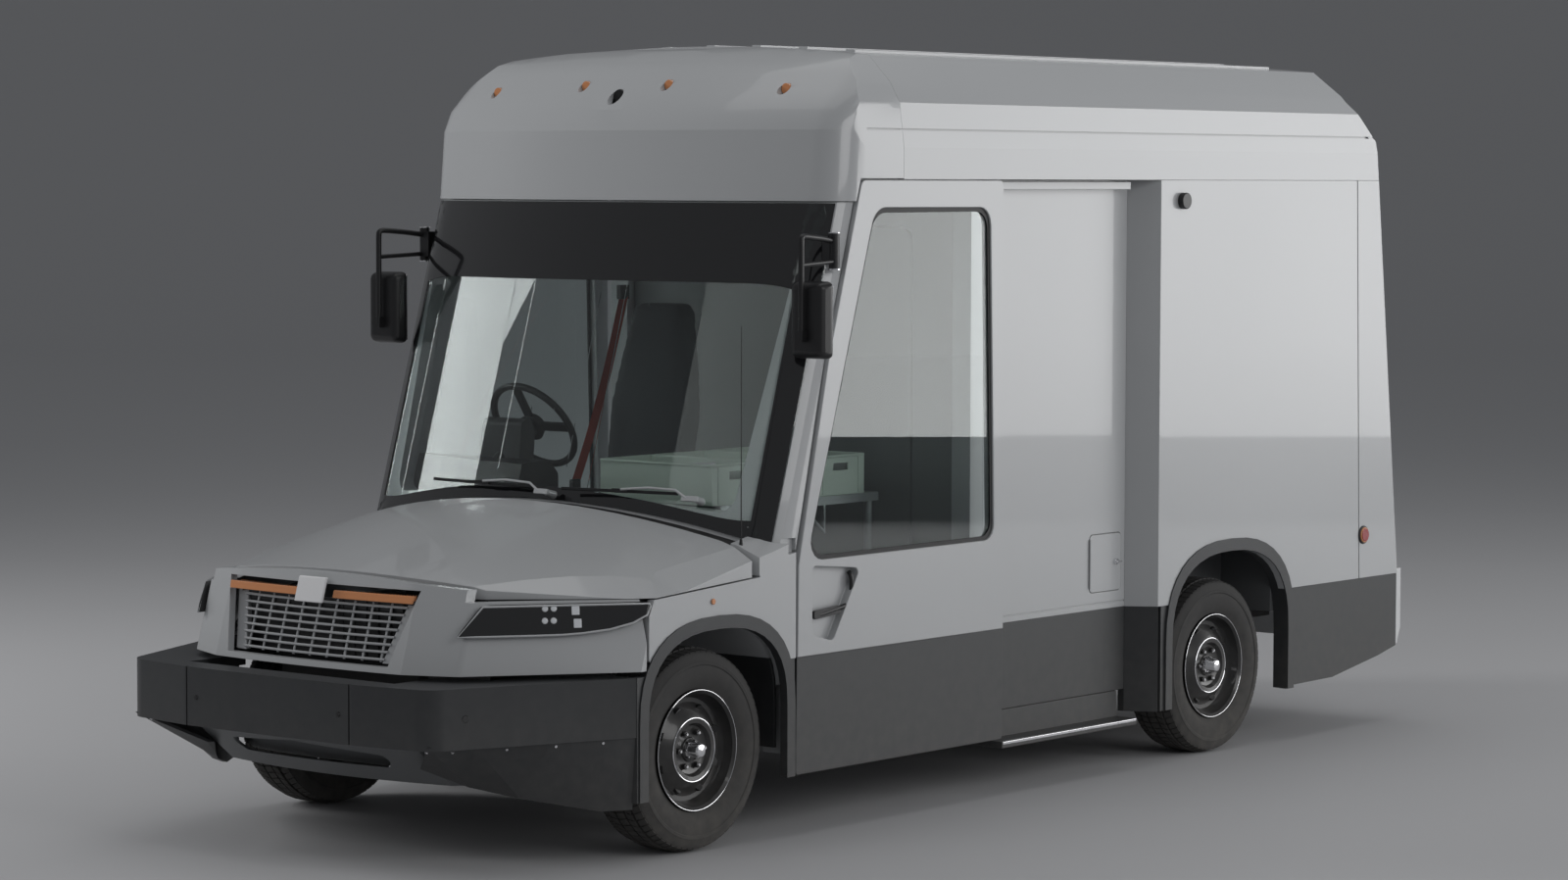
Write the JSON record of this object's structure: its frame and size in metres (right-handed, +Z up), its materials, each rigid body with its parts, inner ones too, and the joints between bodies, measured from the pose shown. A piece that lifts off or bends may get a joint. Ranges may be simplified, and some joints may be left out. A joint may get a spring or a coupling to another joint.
{
  "type": "mail delivery truck",
  "caption": "Walk-in mail delivery truck with sliding cab doors, a short hood, a tall raked windscreen, a closed load bay with rear doors, and a mail tray shelf in the cab.",
  "frame": {"origin": "on the ground under the middle of the truck's overall box", "axes": "+Z up, front of the truck towards -Y, +X towards the vehicle's left side"},
  "size_m": [2.358, 6.054, 2.964],
  "materials": {
    "body_paint": "gloss",
    "cladding": "fine grain",
    "chassis_steel": "satin",
    "tank_metal": "satin",
    "engine_metal": "rough",
    "floor_plate": "satin",
    "glass_clear": "clear",
    "trim_black": "satin",
    "lamp_black": "gloss",
    "lamp_amber": "gloss",
    "lamp_red": "gloss",
    "valance_grey": "satin",
    "bumper_light": "gloss",
    "bulkhead_grey": "satin",
    "dash_plastic": "grained",
    "seat_metal": "satin",
    "seat_fabric": "woven",
    "belt_web": "webbing",
    "shelf_metal": "satin",
    "tray_plastic": "satin",
    "hub_iron": "machined",
    "tyre": "matte",
    "rim_black": "satin"
  },
  "bodies": {
    "chassis": {"ladder_frame": "chassis_steel", "front_subframe": "chassis_steel", "rear_axle": "chassis_steel", "leaf_springs": "chassis_steel", "fuel_tank": "tank_metal", "engine": "engine_metal", "radiator": "chassis_steel", "floor": "floor_plate", "cab_frame": "body_paint", "side_left": "body_paint", "side_right": "body_paint", "mid_panels": "body_paint", "rear_cladding": "cladding", "roof_panel": "body_paint", "roof_cap": "body_paint", "windscreen": "glass_clear", "cowl": "trim_black", "fenders": "body_paint", "front_panel": "body_paint", "grille": "trim_black", "headlamps": "lamp_black", "marker_lamps": "lamp_amber", "front_bumper": "cladding", "valance": "valance_grey", "rear_bumper": "bumper_light", "tail_lamps": "lamp_red", "cameras": "trim_black", "bulkhead": "bulkhead_grey", "dashboard": "dash_plastic", "seat_base": "seat_metal", "seat_cushion": "seat_fabric", "seat_back": "seat_fabric", "seat_belt": "belt_web", "tray_shelf": "shelf_metal", "mail_trays": "tray_plastic"},
    "door_left": {"door_left": "body_paint", "door_glass_left": "glass_clear", "door_handle_left": "trim_black"},
    "door_right": {"door_right": "body_paint", "door_glass_right": "glass_clear", "door_handle_right": "trim_black"},
    "hood": {"hood": "body_paint"},
    "rear_door_left": {"rear_door_left": "body_paint"},
    "rear_door_right": {"rear_door_right": "body_paint"},
    "fuel_flap": {"fuel_flap": "body_paint"},
    "mirror_left": {"mirror_left": "trim_black"},
    "mirror_right": {"mirror_right": "trim_black"},
    "wiper_left": {"wiper_left": "trim_black"},
    "wiper_right": {"wiper_right": "trim_black"},
    "steering_wheel": {"steering_wheel": "dash_plastic"},
    "steer_left": {"hub_left": "hub_iron"},
    "steer_right": {"hub_right": "hub_iron"},
    "wheel_front_left": {"tyre_front_left": "tyre", "rim_front_left": "rim_black"},
    "wheel_front_right": {"tyre_front_right": "tyre", "rim_front_right": "rim_black"},
    "wheel_rear_left": {"tyre_rear_left": "tyre", "rim_rear_left": "rim_black"},
    "wheel_rear_right": {"tyre_rear_right": "tyre", "rim_rear_right": "rim_black"}
  },
  "joints": [
    {"name": "door_left_slide", "type": "slide", "parent": "chassis", "child": "door_left", "axis": [0, 1, 0], "range_m": [0, 0.7]},
    {"name": "door_right_slide", "type": "slide", "parent": "chassis", "child": "door_right", "axis": [0, 1, 0], "range_m": [0, 0.95]},
    {"name": "hood_hinge", "type": "hinge", "parent": "chassis", "child": "hood", "pos_m": [0, -1.515, 1.2], "axis": [-1, 0, 0], "range_deg": [0, 35]},
    {"name": "rear_door_left_hinge", "type": "hinge", "parent": "chassis", "child": "rear_door_left", "pos_m": [0.932, 2.985, 0.668], "axis": [0, 0.1123, -0.9937], "range_deg": [0, 100]},
    {"name": "rear_door_right_hinge", "type": "hinge", "parent": "chassis", "child": "rear_door_right", "pos_m": [-0.932, 2.985, 0.668], "axis": [0, -0.1123, 0.9937], "range_deg": [0, 100]},
    {"name": "fuel_flap_hinge", "type": "hinge", "parent": "chassis", "child": "fuel_flap", "pos_m": [0.945, 0.719, 0.86], "axis": [0, 0, -1], "range_deg": [0, 100]},
    {"name": "mirror_left_fold", "type": "hinge", "parent": "chassis", "child": "mirror_left", "pos_m": [1.055, -1.119, 2.196], "axis": [0, 0, 1], "range_deg": [0, 70]},
    {"name": "mirror_right_fold", "type": "hinge", "parent": "chassis", "child": "mirror_right", "pos_m": [-1.055, -1.119, 2.196], "axis": [0, 0, -1], "range_deg": [0, 70]},
    {"name": "wiper_left_sweep", "type": "hinge", "parent": "chassis", "child": "wiper_left", "pos_m": [0.76, -1.53597, 1.243], "axis": [-0.1469, 0.9465, -0.2873], "range_deg": [0, 95]},
    {"name": "wiper_right_sweep", "type": "hinge", "parent": "chassis", "child": "wiper_right", "pos_m": [0.11, -1.6331, 1.243], "axis": [0.067, 0.9555, -0.2873], "range_deg": [0, 95]},
    {"name": "steer_left_turn", "type": "hinge", "parent": "chassis", "child": "steer_left", "pos_m": [0.8, -1.84, 0.372], "axis": [0, 0, 1], "range_deg": [-30, 30]},
    {"name": "steer_right_turn", "type": "hinge", "parent": "chassis", "child": "steer_right", "pos_m": [-0.8, -1.84, 0.372], "axis": [0, 0, 1], "range_deg": [-30, 30]},
    {"name": "steering_wheel_turn", "type": "hinge", "parent": "chassis", "child": "steering_wheel", "pos_m": [-0.43, -1.147, 1.462], "axis": [0, 0.829, 0.5592], "range_deg": [-450, 450]},
    {"name": "wheel_front_left_roll", "type": "hinge", "parent": "steer_left", "child": "wheel_front_left", "pos_m": [0.9025, -1.84, 0.372], "axis": [1, 0, 0], "continuous": true},
    {"name": "wheel_front_right_roll", "type": "hinge", "parent": "steer_right", "child": "wheel_front_right", "pos_m": [-0.9025, -1.84, 0.372], "axis": [1, 0, 0], "continuous": true},
    {"name": "wheel_rear_left_roll", "type": "hinge", "parent": "chassis", "child": "wheel_rear_left", "pos_m": [0.9025, 1.56, 0.372], "axis": [1, 0, 0], "continuous": true},
    {"name": "wheel_rear_right_roll", "type": "hinge", "parent": "chassis", "child": "wheel_rear_right", "pos_m": [-0.9025, 1.56, 0.372], "axis": [1, 0, 0], "continuous": true}
  ],
  "couplings": [
    {"joint": "steer_right_turn", "follows": "steer_left_turn", "ratio": 1},
    {"joint": "steering_wheel_turn", "follows": "steer_left_turn", "ratio": 15},
    {"joint": "wiper_right_sweep", "follows": "wiper_left_sweep", "ratio": 1}
  ]
}
